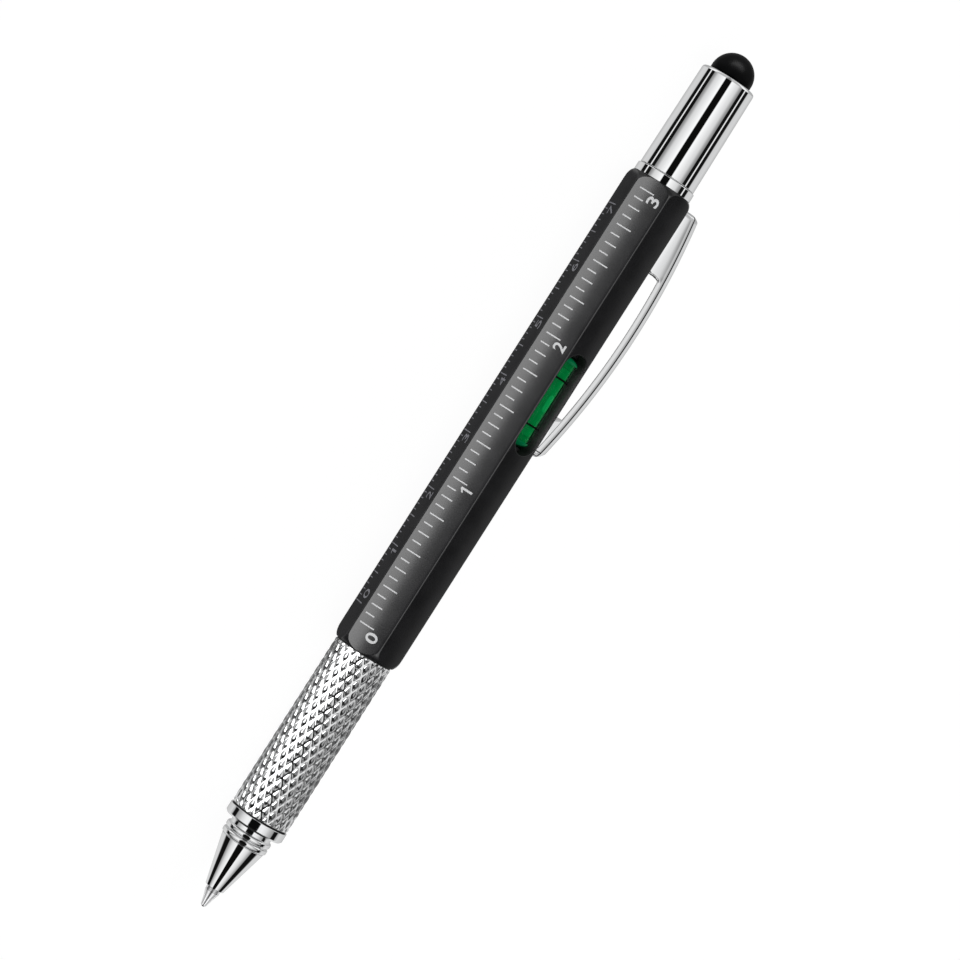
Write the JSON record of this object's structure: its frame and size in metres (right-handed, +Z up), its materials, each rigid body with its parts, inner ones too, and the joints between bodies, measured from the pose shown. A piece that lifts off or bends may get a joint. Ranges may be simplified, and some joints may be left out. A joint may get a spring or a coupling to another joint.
{
  "type": "multi tool pen",
  "caption": "Twist ballpoint pen with a hexagonal ruler barrel, spirit level, spring clip, knurled grip and a pull-off stylus cap over a reversible screwdriver bit.",
  "frame": {"origin": "centre of the barrel's flat that the pen lies on, opposite the spirit level, half way along the barrel", "axes": "+X along the pen towards the writing tip, +Z up out of the spirit level's face, +Y towards the clip's side"},
  "size_m": [0.15, 0.0145, 0.011],
  "materials": {
    "black_lacquer": "satin black lacquer on aluminium",
    "dark_plastic": "matt",
    "clear_acrylic": "clear, polished",
    "green_liquid": "dyed spirit",
    "bubble": "air bubble",
    "marker_black": "gloss",
    "brass": "turned",
    "chrome": "polished",
    "clip_chrome": "polished, pressed sheet",
    "knurled_chrome": "diamond knurled",
    "steel": "bright",
    "tool_steel": "hardened, dark",
    "acetal": "moulded",
    "ink": "thick paste ink",
    "seal_rubber": "moulded",
    "stylus_rubber": "soft conductive rubber"
  },
  "bodies": {
    "barrel": {"hex_barrel": "black_lacquer", "level_cradle": "dark_plastic", "vial_tube": "clear_acrylic", "vial_plug_front": "clear_acrylic", "vial_plug_rear": "clear_acrylic", "vial_liquid": "green_liquid", "marker_ring_front": "marker_black", "marker_ring_rear": "marker_black", "guide_tube": "brass", "cap_bush": "chrome", "bit_magnet": "steel", "cap_o_ring": "seal_rubber"},
    "grip": {"grip_tube": "knurled_chrome", "nose_cone": "chrome", "grip_bush": "brass", "grip_o_ring": "seal_rubber", "twist_cam": "acetal"},
    "refill": {"refill_carrier": "acetal", "follower_pin": "steel", "refill_tube": "brass", "refill_point": "steel", "ink_column": "ink"},
    "ball": {"writing_ball": "steel"},
    "cap": {"cap_sleeve": "chrome", "stylus_plug": "dark_plastic", "stylus_dome": "stylus_rubber"},
    "bit": {"driver_bit": "tool_steel"},
    "clip": {"clip": "clip_chrome"},
    "bubble": {"level_bubble": "bubble"}
  },
  "joints": [
    {"name": "grip_twist", "type": "hinge", "parent": "barrel", "child": "grip", "pos_m": [0, 0, 0.00487], "axis": [1, 0, 0], "range_deg": [0, 180]},
    {"name": "refill_retract", "type": "slide", "parent": "barrel", "child": "refill", "axis": [-1, 0, 0], "range_m": [0, 0.005]},
    {"name": "ball_roll", "type": "hinge", "parent": "refill", "child": "ball", "pos_m": [0.08575, 0, 0.00487], "axis": [0, 1, 0], "continuous": true},
    {"name": "cap_pull", "type": "slide", "parent": "barrel", "child": "cap", "axis": [-1, 0, 0], "range_m": [0, 0.06]},
    {"name": "bit_pull", "type": "slide", "parent": "barrel", "child": "bit", "axis": [-1, 0, 0], "range_m": [0, 0.03]},
    {"name": "clip_flex", "type": "hinge", "parent": "barrel", "child": "clip", "pos_m": [-0.0401, 0.00427, 0.00734], "axis": [0, -0.5, 0.866], "range_deg": [0, 3], "stiffness_Nm_per_rad": 2, "springref_deg": -1.15},
    {"name": "bubble_slide", "type": "slide", "parent": "barrel", "child": "bubble", "axis": [1, 0, 0], "range_m": [-0.0038, 0.0038]}
  ],
  "couplings": [
    {"joint": "grip_twist", "follows": "refill_retract", "rad_per_m": 628.32},
    {"joint": "bit_pull", "follows": "cap_pull", "ratio": 0.5}
  ]
}
